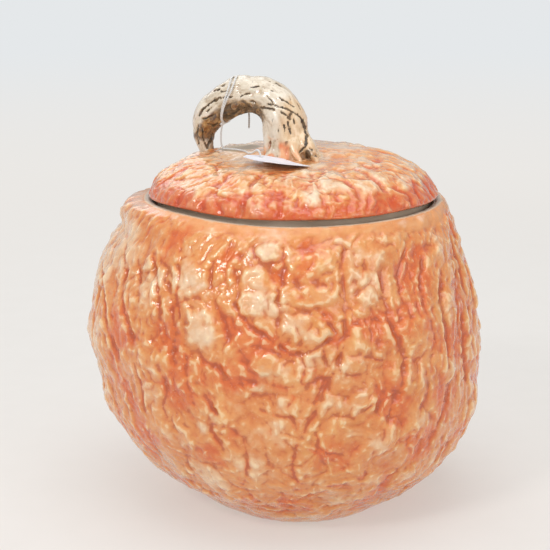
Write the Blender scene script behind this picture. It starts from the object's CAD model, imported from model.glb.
# Lidded pumpkin jar with a hooked stem for a handle and a paper ticket tied to it.
# The jar stands on z = 0 round the z axis, its front towards -y.  Shapes are worked
# out in mm and become metres when a mesh is made.  An azimuth is in degrees from
# the front, positive towards +x.
import math
from itertools import product

import bpy
import numpy as np
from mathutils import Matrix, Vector


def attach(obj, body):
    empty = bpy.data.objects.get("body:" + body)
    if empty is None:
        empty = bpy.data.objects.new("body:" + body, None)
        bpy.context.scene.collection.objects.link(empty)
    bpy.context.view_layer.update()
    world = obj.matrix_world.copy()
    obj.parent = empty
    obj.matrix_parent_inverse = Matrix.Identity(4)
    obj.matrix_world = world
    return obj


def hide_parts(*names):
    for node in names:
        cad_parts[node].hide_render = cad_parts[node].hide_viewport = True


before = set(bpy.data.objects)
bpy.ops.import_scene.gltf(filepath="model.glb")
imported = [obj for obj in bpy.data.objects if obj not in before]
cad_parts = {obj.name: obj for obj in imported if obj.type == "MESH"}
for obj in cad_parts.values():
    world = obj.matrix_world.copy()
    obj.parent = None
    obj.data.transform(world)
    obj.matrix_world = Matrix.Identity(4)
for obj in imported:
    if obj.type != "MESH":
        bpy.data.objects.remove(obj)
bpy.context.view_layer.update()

MM = 0.001
COARSE = 1      # quick builds halve the ring counts
scene = bpy.context.scene


# -------------------------------------------------------------- numpy textures
def hash3(cells, seed):
    x, y, z = cells.T
    code = (x * 73856093) ^ (y * 19349663) ^ (z * 83492791) ^ (seed * 2654435761)
    code &= 0xFFFFFFFF
    for _ in range(2):
        code = ((code ^ (code >> 16)) * 0x45D9F3B) & 0xFFFFFFFF
    return code ^ (code >> 16)


def ten_bits(code):
    """Three numbers 0..1023 out of each hash code."""
    return [(code >> shift) & 1023 for shift in (0, 10, 20)]


def noise(points, seed=0):
    """Gradient noise, about -0.7..0.7, at the points (n, 3)."""
    cell = np.floor(points).astype(np.int64)
    part = points - cell
    ease = part * part * part * (part * (part * 6 - 15) + 10)
    total = np.zeros(len(points))
    for corner in product((0, 1), repeat=3):
        weight, slope = 1.0, 0.0
        for axis, bits in enumerate(ten_bits(hash3(cell + corner, seed))):
            step = corner[axis]
            weight = weight * (ease[:, axis] if step else 1 - ease[:, axis])
            slope = slope + (bits / 511.5 - 1) * (part[:, axis] - step)
        total += weight * slope
    return total * 1.3


def fbm(points, seed=0, octaves=3, gain=0.5):
    total, amount = np.zeros(len(points)), 1.0
    for k in range(octaves):
        total += amount * noise(points, seed + 17 * k)
        amount *= gain
        points = points * 2.03 + 11.3
    return total


def wander(points, seed, shifts, octaves=1):
    """A vector of noise, one component per shift."""
    return np.stack([fbm(points + shift, seed + k, octaves)
                     for k, shift in enumerate(shifts)], 1)


def ridged(points, seed=0, octaves=3):
    """0 in the folds, 1 on sharp crests."""
    total, amount, full = np.zeros(len(points)), 1.0, 0.0
    for k in range(octaves):
        total += amount * (1 - np.clip(np.abs(noise(points, seed + 23 * k)) * 2.6, 0, 1))
        full += amount
        amount *= 0.5
        points = points * 2.1 + 7.7
    return total / full


def cell_noise(points, seed, jitter=0.9):
    """Distances to the nearest and second nearest cell points, and a value per cell."""
    cell = np.floor(points).astype(np.int64)
    part = points - cell
    first = np.full(len(points), 9.0)
    second = np.full(len(points), 9.0)
    value = np.zeros(len(points))
    for corner in product((-1, 0, 1), repeat=3):
        code = hash3(cell + corner, seed)
        gaps = [corner[axis] + 0.5 + jitter * (bits / 1023.0 - 0.5) - part[:, axis]
                for axis, bits in enumerate(ten_bits(code))]
        dist = np.sqrt(sum(gap * gap for gap in gaps))
        near = dist < first
        second = np.where(near, first, np.minimum(second, dist))
        value = np.where(near, ((code >> 5) & 255) / 255.0, value)
        first = np.where(near, dist, first)
    return first, second, value


def smooth(start, end, x):
    """0 at start, 1 at end, eased; start may be the larger."""
    t = np.clip((x - start) / (end - start), 0, 1)
    return t * t * (3 - 2 * t)


def plateau(x, up_from, up_to, down_from, down_to):
    return smooth(up_from, up_to, x) * (1 - smooth(down_from, down_to, x))


def bell(x, centre, width):
    return np.exp(-((x - centre) / width) ** 2)


def channel(distance, half_width, softness):
    """1 on a flat-bottomed channel's floor, 0 outside it."""
    return 1 / (1 + np.exp(np.clip((distance - half_width) / softness, -40, 40)))


def pillows(points, seed, size, creased, dome, step, crease):
    """Cells of clay.  dome is (height, reach), step is (height, width) of the jumps
    between cells, crease is (depth, width) of the lines where creased is 1."""
    first, second, value = cell_noise(points, seed)
    edge = (second - first) * size * 0.5
    return (dome[0] * np.clip(1 - (first / dome[1]) ** 2, 0, 1)
            + step[0] * (value - 0.5) * (1 - np.exp(-edge / step[1]))
            - crease[0] * np.exp(-edge / crease[1]) * creased)


def crumple(pos, seed, big, tall):
    """Height in mm, about -1.5..2.5, of the lumpy clay at pos (mm): pillows of size
    big, drawn out upwards by tall, with soft creases and a crumbly skin."""
    small = 8.0
    fine = wander(pos / 5.5, seed + 4, (0, 9.1, 17.9))
    warped = pos + wander(pos / 21.0, seed + 1, (0, 31.7, 63.1), octaves=3) * 9.5 + fine * 1.3
    large = pillows(warped * np.array([1.0, 1.0, 1.0 / tall]) / big, seed + 7, big,
                    creased=smooth(-0.30, 0.35, noise(pos / 17.0, seed + 20)),
                    dome=(2.1, 0.95), step=(1.1, 2.5), crease=(0.58, 0.9))
    little = pillows(warped * np.array([1, 1, 0.8]) / small + 5.0, seed + 8, small,
                     creased=smooth(-0.35, 0.30, noise(pos / 10.0, seed + 21)),
                     dome=(0.85, 0.9), step=(0.5, 1.5), crease=(0.36, 0.65))
    little *= 0.3 + 0.8 * smooth(-0.35, 0.45, fbm(pos / 26.0, seed + 10, 2))
    soft = 1.15 * fbm(warped / 13.0, seed + 9, 4, 0.50)
    skin = 0.22 * fbm((pos + fine) / 3.2, seed + 11, 2, 0.6)
    rib = smooth(0.80, 0.98, ridged(warped * np.array([1, 1, 0.45]) / 15.0, seed + 12, 1))
    rib *= smooth(0.0, 0.3, noise(pos / 15.0, seed + 22))
    return 0.84 * (large - 1.0) + 0.8 * little - 0.25 + soft + skin + 0.45 * rib


def line_distance(x, y, line):
    """Distance in mm to a polyline, at the points (x, y) in mm."""
    best = np.full(len(x), 1e9)
    for (ax, ay), (bx, by) in zip(line[:-1], line[1:]):
        dx, dy = bx - ax, by - ay
        t = np.clip(((x - ax) * dx + (y - ay) * dy) / max(dx * dx + dy * dy, 1e-9), 0, 1)
        best = np.minimum(best, np.hypot(x - ax - t * dx, y - ay - t * dy))
    return best


def blur(grid, rows, cols):
    """Gaussian blur of a grid that closes on itself from side to side."""
    pad = int(3 * rows) + 2
    padded = np.pad(grid, ((pad, pad), (0, 0)), mode="edge")
    spectrum = np.fft.rfft2(padded)
    row_freq = np.fft.fftfreq(padded.shape[0])[:, None]
    col_freq = np.fft.rfftfreq(padded.shape[1])[None, :]
    spectrum *= np.exp(-2 * np.pi ** 2 * ((row_freq * rows) ** 2 + (col_freq * cols) ** 2))
    return np.fft.irfft2(spectrum, s=padded.shape)[pad:-pad]


def cavity(grid, rows, cols, depth):
    """0 in hollows, 1 on crests, at the scale of a blur; flattened."""
    return (0.5 + 0.5 * np.tanh((grid - blur(grid, rows, cols)) / depth)).reshape(-1)


# --------------------------------------------------------------- mesh helpers
class Faces:
    """Groups of faces with their UVs.  A corner is (vertex indices, u, v)."""

    def __init__(self):
        self.groups = []
        self.uvs = []

    def add(self, *corners, flip=False):
        if flip:
            corners = corners[::-1]
        count = len(corners[0][0])
        self.groups.append(np.stack([corner[0] for corner in corners], 1))
        self.uvs.append(np.stack([np.broadcast_to(value, count)
                                  for corner in corners for value in corner[1:]], 1))


def add_attribute(mesh, name, values):
    rgba = np.ones((len(values), 4), dtype=np.float32)
    rgba[:, :3] = values
    mesh.attributes.new(name, "FLOAT_COLOR", "POINT").data.foreach_set("color", rgba.reshape(-1))


def build_mesh(name, points, groups, attributes=None, uvs=None):
    """An object from points in metres and arrays of faces."""
    mesh = bpy.data.meshes.new(name)
    index = np.concatenate([group.reshape(-1) for group in groups]).astype(np.int32)
    sizes = np.concatenate([np.full(len(g), g.shape[1]) for g in groups]).astype(np.int32)
    starts = np.concatenate([[0], np.cumsum(sizes)[:-1]]).astype(np.int32)
    mesh.vertices.add(len(points))
    mesh.vertices.foreach_set("co", np.asarray(points, dtype=np.float32).reshape(-1))
    mesh.loops.add(len(index))
    mesh.loops.foreach_set("vertex_index", index)
    mesh.polygons.add(len(sizes))
    mesh.polygons.foreach_set("loop_start", starts)
    mesh.polygons.foreach_set("loop_total", sizes)
    mesh.polygons.foreach_set("use_smooth", np.ones(len(sizes), dtype=bool))
    if uvs is not None:
        flat = np.concatenate([group.reshape(-1) for group in uvs]).astype(np.float32)
        mesh.uv_layers.new(name="OFBake").data.foreach_set("uv", flat * 0.996 + 0.002)
    mesh.update(calc_edges=True)
    mesh.validate()
    for key, values in (attributes or {}).items():
        add_attribute(mesh, key, values)
    ob = bpy.data.objects.new(name, mesh)
    scene.collection.objects.link(ob)
    return ob


def angles(count):
    return 2 * np.pi * np.arange(count) / count


def outward(angle):
    """Unit vectors away from the axis; angle 0 is the front."""
    return np.stack([np.sin(angle), -np.cos(angle), np.zeros(len(angle))], 1)


def azimuth(angle):
    """Degrees from -180 to 180."""
    return np.degrees(np.where(angle > np.pi, angle - 2 * np.pi, angle))


def full_circle(degrees):
    """Degrees from 0 to 360."""
    return np.where(degrees < 0, degrees + 360, degrees)


def path_run(points):
    """Distance along a path at each of its points."""
    return np.concatenate([[0], np.cumsum(np.linalg.norm(np.diff(points, axis=0), axis=1))])


def walk(points, step):
    """Points every step mm along a polyline of (r, z), and their distance along it."""
    points = np.array(points, dtype=float)
    run = path_run(points)
    count = max(int(round(run[-1] / step)), 2)
    along = np.linspace(0, run[-1], count + 1)
    return np.stack([np.interp(along, run, points[:, k]) for k in (0, 1)], 1), along


def right_of(profile):
    """Unit (r, z) normals to the right of a profile's direction of travel."""
    tangent = np.gradient(profile, axis=0)
    tangent /= np.linalg.norm(tangent, axis=1)[:, None]
    return np.stack([tangent[:, 1], -tangent[:, 0]], 1)


def ring_counts(radii, full, spacing, fewest):
    """Points per ring: full, halved while they lie closer than the ring's spacing;
    neighbouring rings differ by a factor of two at most."""
    counts = []
    for radius, gap in zip(radii, spacing):
        count = full
        while count > fewest and 2 * math.pi * radius / count < gap:
            count //= 2
        counts.append(count)
    for k in range(1, len(counts)):
        counts[k] = min(counts[k], counts[k - 1] * 2)
    for k in reversed(range(len(counts) - 1)):
        counts[k] = min(counts[k], counts[k + 1] * 2)
    return np.array(counts)


def lay_rings(profile, counts):
    """Row, column, angle and place of every point of the rings."""
    row = np.repeat(np.arange(len(profile)), counts)
    column = np.concatenate([np.arange(count) for count in counts])
    angle = 2 * np.pi * column / counts[row]
    points = outward(angle) * profile[row, :1]
    points[:, 2] = profile[row, 1]
    return row, column, angle, points


def ring_mesh(name, points, counts, row_v, attributes, poles):
    """A closed mesh from rings round the axis and a pole at either end."""
    starts = np.concatenate([[0], np.cumsum(counts)])
    faces = Faces()
    for k in range(len(counts) - 1):
        here, there = (starts[k], row_v[k]), (starts[k + 1], row_v[k + 1])
        count = min(counts[k], counts[k + 1])
        j = np.arange(count)
        j1 = (j + 1) % count
        u0, u_mid, u1 = j / count, (j + 0.5) / count, (j + 1) / count
        if counts[k] == counts[k + 1]:
            (a, va), (b, vb) = here, there
            faces.add((a + j, u0, va), (a + j1, u1, va), (b + j1, u1, vb), (b + j, u0, vb))
            continue
        flip = bool(counts[k] < counts[k + 1])
        (many, v_many), (few, v_few) = (there, here) if flip else (here, there)
        many0 = (many + 2 * j, u0, v_many)
        many1 = (many + 2 * j + 1, u_mid, v_many)
        many2 = (many + (2 * j + 2) % (2 * count), u1, v_many)
        few0, few1 = (few + j, u0, v_few), (few + j1, u1, v_few)
        for triangle in ((many0, many1, few0), (many1, few1, few0), (many1, many2, few1)):
            faces.add(*triangle, flip=flip)
    for ring, pole_v, flip in ((0, 0.0, True), (len(counts) - 1, 1.0, False)):
        count = counts[ring]
        j = np.arange(count)
        pole = np.full(count, starts[-1] + int(pole_v))
        start, v = starts[ring], row_v[ring]
        faces.add((start + j, j / count, v), (start + (j + 1) % count, (j + 1) / count, v),
                  (pole, (j + 0.5) / count, pole_v), flip=flip)
    return build_mesh(name, np.vstack([points, poles]) * MM, faces.groups, attributes, faces.uvs)


# -------------------------------------------------------------------- the jar
# (r, z) points of the profile below, over and inside the outer wall
JAR_FOOT = [(7, 2.5), (51.5, 2.5), (52.6, 2.2), (53.4, 1.2), (54.0, 0.35), (54.8, 0.0), (60.5, 0.0)]
JAR_RIM = [
    (94.3, 193.9), (93.0, 194.2), (91.3, 194.1), (89.7, 193.6), (88.7, 192.6), (88.3, 191.3),
    (88.1, 189.6), (87.7, 188.4), (86.8, 187.9), (81.6, 187.9), (80.4, 187.6), (79.6, 186.6),
    (79.4, 184.0), (80.0, 181.2), (81.5, 179.8), (90.0, 177.2), (95.5, 175.6)]
JAR_BOWL = [(84.0, 22.0), (78.0, 17.0), (70.0, 12.8), (62.0, 10.4), (54.0, 9.6), (7.0, 9.4)]
# how far the wall leans towards +x: heights z, then shifts
JAR_LEAN = (
    [0, 10, 25, 45, 67, 80, 95, 110, 125, 140, 155, 167, 177, 184, 189, 192],
    [3.6, 5.2, 4.2, 1.4, -1.2, -2.2, -3.0, -5.2, -5.6, -5.6, -5.8, -5.4, -4.2, -2.6, -0.8, 0])
INNER_LEAN = (
    [0, 10, 25, 45, 67, 80, 95, 110, 125, 140, 155, 165, 172, 180],
    [2.6, 4.0, 4.0, 1.4, -1.2, -2.2, -3.0, -5.2, -5.6, -5.6, -5.8, -5.2, -3.2, 0])

# Furrows and cracks on the front: depth, width, and a line of (azimuth, distance
# up the wall from the foot).
FRONT_CUTS = [
    (2.6, 1.5, [(18, 212), (17.5, 201.6), (17.5, 186.9), (17.4, 172.6), (16.5, 158.5),
                (15.4, 150.1), (12.4, 137.5), (9, 124.5), (5.9, 112.2), (2.9, 101)]),
    (3.2, 4.2, [(16, 161), (12.8, 146), (9.8, 133), (6.5, 121)]),
    (2.6, 1.6, [(30.8, 199), (30, 184.3), (30.1, 169.7), (33.3, 154.1), (34.4, 143.4),
                (33.2, 130.3), (29.7, 116), (26.3, 95.5)]),
    (3.0, 1.7, [(-41.0, 202), (-36.8, 191.3), (-33.4, 177.5), (-31.6, 160.6), (-31, 143.1)]),
    (2.2, 1.2, [(-46.6, 203), (-42, 192.8), (-38.4, 180.3), (-36.8, 167.6)]),
    (2.2, 1.4, [(-35.8, 208), (-32.7, 195.5), (-32.1, 183.7), (-30.2, 169.7)]),
    (1.4, 1.3, [(-22.5, 203.8), (-21.3, 192.1), (-19.1, 180.9), (-16, 170), (-14.4, 158.9)]),
    (2.3, 1.2, [(-1.7, 214), (-1, 205), (-0.8, 199.9), (-0.2, 192.6)]),
    (2.6, 1.2, [(-1.3, 189.7), (-1.3, 181.1), (-1.6, 171.3), (-1.5, 161.4), (-0.4, 155.7)]),
    (2.2, 1.1, [(-31.6, 178), (-28.6, 180.6), (-24.4, 182)]),
    (2.4, 1.1, [(-13.5, 181.7), (-11.8, 174.8), (-8.9, 168.8), (-5.3, 164.1), (-2.7, 159.2)]),
    (1.8, 1.1, [(-0.4, 155.7), (2.4, 152.1), (6, 152.7), (10.2, 158), (14.5, 163.8)]),
    (1.6, 1.2, [(-0.1, 193.3), (4.4, 193.9), (8.8, 192), (16.3, 192.9)]),
    (1.8, 1.0, [(-0.6, 176.9), (3.5, 178), (7.7, 176.3), (11.9, 170.6), (14.5, 164.5)]),
    (2.6, 1.4, [(-76, 184), (-69.4, 178.1), (-63.2, 163.6), (-58.6, 148.9), (-54.8, 135.3)]),
    (2.6, 1.4, [(-62.2, 199.5), (-56.9, 187.1), (-54.6, 175.6), (-49.7, 159.4), (-46.5, 147.3)]),
    (1.8, 1.2, [(-52.8, 196.7), (-47.6, 184.6), (-45.7, 173.2)]),
    (2.0, 1.2, [(2.4, 99), (0.7, 88.2), (-0.5, 74.3), (1.4, 66.6), (5.9, 64)]),
    (2.0, 1.0, [(7, 104.7), (7.6, 96), (9.5, 89.7), (14.9, 87.3)]),
    (2.0, 1.5, [(-16.5, 136.1), (-11.1, 134), (-5.9, 136), (-0.7, 132.5), (3.9, 134.7),
                (9.7, 137.1)]),
    (1.5, 1.0, [(-11.6, 214), (-10.2, 209), (-6.8, 205.1), (-2.5, 206)]),
    (1.2, 1.0, [(-15.6, 201.8), (-13.1, 193.3), (-13.1, 186.1)]),
    (1.4, 1.0, [(19, 172.3), (23.5, 172.9), (28.1, 167.4)]),
    (1.4, 1.0, [(17.8, 149.7), (22.8, 150), (27.5, 144.3)]),
    (1.2, 0.9, [(4.4, 152.8), (5.7, 144.1), (4.8, 136.8)]),
    (1.4, 0.9, [(11, 155.1), (11.3, 145), (9.7, 136.4)]),
    (1.5, 1.2, [(-23.3, 152.8), (-20.9, 146.1), (-16.6, 141.2), (-13.8, 131.3)]),
    (1.4, 1.0, [(-11.4, 155), (-7.6, 157.6), (-3.5, 155.6), (1.8, 148.6)]),
    (1.6, 1.1, [(-7.5, 118.4), (-3.6, 115.5), (1, 115.6), (2, 105.8)]),
    (2.2, 1.3, [(41, 207.2), (36.7, 194.4), (36.2, 179.6), (38.3, 167)]),
    (2.3, 1.3, [(48.6, 198.3), (44.8, 184.1), (44.3, 167.7), (46.9, 150.1)]),
    (2.3, 1.3, [(55.9, 187.5), (51.6, 170.7), (53.1, 151.7), (51.6, 130.8)]),
    (2.0, 1.3, [(62.8, 171.7), (60.2, 157.4), (61.8, 137.7)]),
    (2.0, 1.3, [(41.6, 135.9), (42.9, 119.6), (38.5, 105.4)]),
    (2.0, 1.4, [(53.1, 120.4), (50.5, 102), (46, 86.9)]),
    (1.8, 1.3, [(-36.4, 138.1), (-34.8, 126.5), (-37.8, 112.5), (-36.1, 99.8)]),
    (1.8, 1.3, [(-46.1, 133.7), (-45.6, 118.2), (-46.2, 104.6)]),
    (1.8, 1.3, [(-22.3, 124.8), (-20, 114.4), (-22.6, 102.1), (-19.5, 90.6)]),
    (1.8, 1.3, [(-12.9, 97.7), (-13.2, 80.9), (-17.1, 62.6), (-14.5, 45.2)]),
    (1.6, 1.1, [(9.9, 62.2), (16.4, 62.9), (22.7, 69.6)]),
    (1.4, 1.1, [(12.3, 114.6), (17.8, 111.8), (22.8, 118.4)]),
    (1.3, 1.0, [(1.9, 128), (-0.2, 121.9), (1, 114)]),
    (1.5, 1.1, [(-26.8, 147.4), (-27.4, 132.4), (-26.4, 118.8)]),
    (1.3, 1.0, [(24.9, 203.4), (23.4, 194.6), (19.3, 191)]),
]
# Larger blocks that stand proud on the front: azimuth, distance up the wall, half
# width, half height, how far out.
FRONT_BLOCKS = [
    (-46.9, 197.3, 4.9, 5.1, 1.8), (-26.7, 191.8, 7.7, 9.4, 1.5), (-22.8, 165.1, 9.8, 10.9, 2.1),
    (-8.8, 180.8, 8.4, 7.2, 2.3), (6.9, 167.5, 13.3, 8.7, 2.5), (8.2, 185.1, 14.0, 5.6, 1.6),
    (-6.4, 211.2, 6.3, 5.5, 1.2), (7.5, 203.5, 12.6, 7.0, 1.5), (25.5, 186.9, 7.7, 10.9, 1.7),
    (22.7, 160.1, 7.7, 8.7, 1.7), (5.7, 144.8, 5.6, 7.2, 1.3), (-4.7, 146.5, 10.2, 6.0, 1.7),
    (-0.2, 121.9, 7.7, 6.5, 1.5), (20.6, 119.1, 9.8, 8.7, 1.6), (-12.5, 142.4, 6.0, 5.2, 1.3),
    (-18.2, 108.4, 8.4, 7.2, 1.3), (-40.0, 187.3, 4.2, 10.1, 1.3),
]
# Patches of pale and of redder glaze: azimuth, distance up the wall, size, strength
PALE_PATCHES = [
    (-24.2, 101.5, 5, 0.45), (-26.0, 66.8, 7, 0.40), (-22, 60, 5, 0.30), (27, 178, 10, 0.22),
    (-24, 187, 14, 0.20), (-16, 178, 10, 0.16), (-8.8, 182, 9, 0.12), (8, 168, 10, 0.08),
    (33, 78, 7, 0.2), (-22, 165, 9, 0.08), (-44, 190, 10, 0.2), (-70, 195, 16, 0.5),
    (-86, 190, 29, 1.0), (-62, 200, 14, 0.5), (-66, 120, 20, 0.25), (140, 110, 12, 0.3),
    (215, 80, 14, 0.3), (262, 150, 12, 0.3), (95, 160, 12, 0.25), (170, 170, 14, 0.25)]
RED_PATCHES = [
    (-31, 160, 12, 0.3), (-52, 155, 16, 0.3), (-10, 136, 14, 0.28), (-27, 134, 12, 0.28),
    (12, 172, 6, 0.35), (14, 158, 5, 0.3), (-12, 168, 7, 0.35), (44, 165, 14, 0.25),
    (10, 96, 9, 0.3), (25, 168, 9, 0.3), (-30, 122, 10, 0.25), (-52, 110, 14, 0.2),
    (10, 88, 6, 0.35), (24, 140, 10, 0.2), (-4, 160, 4, 0.3), (120, 140, 16, 0.3),
    (190, 130, 14, 0.3), (240, 110, 16, 0.3), (280, 160, 14, 0.25), (85, 110, 16, 0.2)]


def belly_radius(z):
    low = np.interp(z, [0, 1.2, 3, 6, 12, 18, 25.2], [60.5, 63.5, 66.2, 70.0, 78.3, 87.2, 96.3])
    arc = -8 + np.sqrt(np.maximum(134.0 ** 2 - (z - 108.0) ** 2, 0)) - 0.3
    blend = smooth(20, 30, z)
    return low * (1 - blend) + arc * blend


def other_cuts():
    """Furrows for the flanks and the back, as in FRONT_CUTS."""
    rng = np.random.RandomState(11)
    cuts = []
    azim = 64.0
    while azim < 360 - 68:
        top = 150 + rng.rand() * 58
        bottom = top - 45 - rng.rand() * 75
        drift = (rng.rand() - 0.5) * 13
        line = [(azim + drift * t + (rng.rand() - 0.5) * 3.0, top + (bottom - top) * t)
                for t in np.linspace(0, 1, 6)]
        cuts.append((1.8 + rng.rand() * 1.2, 1.2 + rng.rand() * 0.6, line))
        if rng.rand() < 0.6:      # a side crack leaving the furrow
            x, y = line[rng.randint(1, 5)]
            way = 1 if rng.rand() < 0.5 else -1
            cuts.append((1.2 + rng.rand(), 1.0 + rng.rand() * 0.3,
                         [(x, y), (x + way * 3, y + rng.rand() * 4 - 2),
                          (x + way * (6 + rng.rand() * 4), y + rng.rand() * 10 - 5)]))
        if rng.rand() < 0.6:      # a second furrow lower down
            top = bottom - 4 - rng.rand() * 10
            line = [(azim + 5 + rng.rand() * 4 - 2 - drift * t * 0.5, top - 55 * t)
                    for t in np.linspace(0, 1, 5)]
            cuts.append((1.4 + rng.rand() * 0.8, 1.2 + rng.rand() * 0.4, line))
        azim += 7.5 + rng.rand() * 7.5
    return cuts


def other_blocks():
    """Blocks for the flanks and the back, as in FRONT_BLOCKS."""
    rng = np.random.RandomState(23)
    return [(62 + rng.rand() * (360 - 124), 62 + rng.rand() * 140, 5 + rng.rand() * 6,
             5 + rng.rand() * 6, 1.0 + rng.rand() * 1.3) for _ in range(70)]


def raise_blocks(height, pos, azim, run, arc, blocks):
    for centre, centre_run, half_width, half_height, out in blocks:
        across = (azim - centre) * arc
        up = run - centre_run
        near = (np.abs(across) < half_width * 1.8) & (np.abs(up) < half_height * 1.8)
        if near.any():
            edge = ((np.abs(across[near]) / half_width) ** 2.6
                    + (np.abs(up[near]) / half_height) ** 2.6) ** (1 / 2.6)
            edge = edge + noise(pos[near] / 5.0, 51) * 0.24
            height[near] += 0.80 * out * (1 - smooth(0.66, 1.20, edge))


def carve_cuts(height, furrow, pos, azim, run, arc, cuts):
    wob_x = noise(pos / 7.0, 61) * 1.5 + noise(pos / 2.6, 63) * 0.45
    wob_y = noise(pos / 7.0 + 5, 62) * 1.5 + noise(pos / 2.6 + 5, 64) * 0.45
    vary = 0.45 + 0.75 * smooth(-0.4, 0.35, noise(pos / 9.0, 65))
    for depth, width, line in cuts:
        (left, low), (right, high) = np.min(line, axis=0), np.max(line, axis=0)
        near = (azim > left - 8) & (azim < right + 8) & (run > low - 12) & (run < high + 12)
        if not near.any():
            continue
        mm_per_degree = float(np.median(arc[near]))
        dist = line_distance(azim[near] * mm_per_degree + wob_x[near], run[near] + wob_y[near],
                             [(x * mm_per_degree, y) for x, y in line])
        ends = (np.clip((run[near] - low + 6) / 14, 0, 1)
                * np.clip((high + 6 - run[near]) / 14, 0, 1))
        amount = ends ** 0.5 * vary[near]
        width = width * 1.15
        if high < 105:
            depth = depth * 0.6
        # a flat-bottomed channel with a lip on either side and a fine line in it
        floor_part = channel(dist, width * 1.2, 0.50 * width)
        lip = bell(dist, width * 2.6, width * 1.1)
        fine = bell(dist, 0, 0.8)
        height[near] += amount * (0.15 * depth * lip - 0.47 * depth * floor_part - 0.34 * fine)
        furrow[near] = np.maximum(furrow[near], amount * (0.45 * fine + 0.55 * floor_part))


def jar_relief(pos, azim, run, radius, wall_length):
    """Height in mm over the thrown wall, furrow mask, and mask of the calm band
    under the rim."""
    round_azim = full_circle(azim)
    flank = smooth(32, 58, np.abs(azim)) * 0.8
    height = crumple(pos, 3, big=17.0, tall=1.4)
    folded = pos * np.array([1, 1, 0.25])
    folded = folded + 2.4 * wander(pos / 13.0, 41, (0, 7, 14))
    folds = ridged(folded / 9.0, 45, 2)
    small_folds = ridged(folded / 4.8 + 3.0, 47, 2)
    height = (height * (1 - 0.25 * flank)
              + flank * (1.1 * (folds - 0.5) + 0.35 * (small_folds - 0.5)))
    arc = np.radians(1.0) * radius
    furrow = np.zeros(len(pos))
    raise_blocks(height, pos, azim, run, arc, FRONT_BLOCKS)
    raise_blocks(height, pos, round_azim, run, arc, other_blocks())
    carve_cuts(height, furrow, pos, azim, run, arc, FRONT_CUTS)
    carve_cuts(height, furrow, pos, round_azim, run, arc, other_cuts())
    height += 2.6 * fbm(pos / 48.0, 71, 2) + 1.5 * noise(pos / 24.0, 72)
    # calm, smooth clay under the rim and towards the foot
    wave = 6.5 * noise(pos / 18.0, 73) + 3.5 * noise(pos / 6.0, 74) - 6.0 * bell(azim, -80, 34.0)
    band = smooth(wall_length - 9, wall_length - 2.0, run + wave)
    low = 0.25 + 0.75 * smooth(4, 26, run)
    height = height * (1 - band) * low + band * (1.1 * fbm(pos / 13.0, 75, 3) - 0.1)
    return height, furrow, band


def jar_tone(pos, azim, run, radius):
    """0 for red glaze, 1 for pale worn glaze."""
    arc = np.radians(1.0) * radius
    round_azim = full_circle(azim)
    tone = fbm(pos / 26.0, 81, 3) * 0.50 + 0.5
    for sign, seed, patches in ((1, 83, PALE_PATCHES), (-1, 85, RED_PATCHES)):
        ragged = 4.5 * noise(pos / 6.0, seed)
        for centre, centre_run, size, amount in patches:
            use = azim if -100 < centre < 60 else round_azim
            dist = np.hypot((use - centre) * arc, run - centre_run) + ragged
            tone += sign * amount * bell(dist, 0, size)
    return tone - 0.16 * plateau(azim, 22, 42, 75, 95)


def jar_profile(step):
    """(r, z) rows from the middle underneath, up the outside, over the rim and down
    the inside; the wall's first and last row; distance up the wall."""
    z = np.concatenate([np.linspace(0, 2, 8), np.linspace(2, 193.2, 1500)[1:]])
    wall, wall_run = walk(np.stack([belly_radius(z), z], 1), step)
    foot = walk(JAR_FOOT, 1.6)[0]
    rim = walk([wall[-1], *JAR_RIM], 0.9)[0]
    z = np.linspace(172.0, 27.0, 400)
    radius = np.sqrt(119.4 ** 2 - (z - 108.5) ** 2)
    lining = walk([(98.5, 174.4), *zip(radius, z), *JAR_BOWL], 2.2)[0]
    first = len(foot) - 1
    profile = np.concatenate([foot[:-1], wall[:-1], rim[:-1], lining])
    return profile, first, first + len(wall) - 1, wall_run


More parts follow.
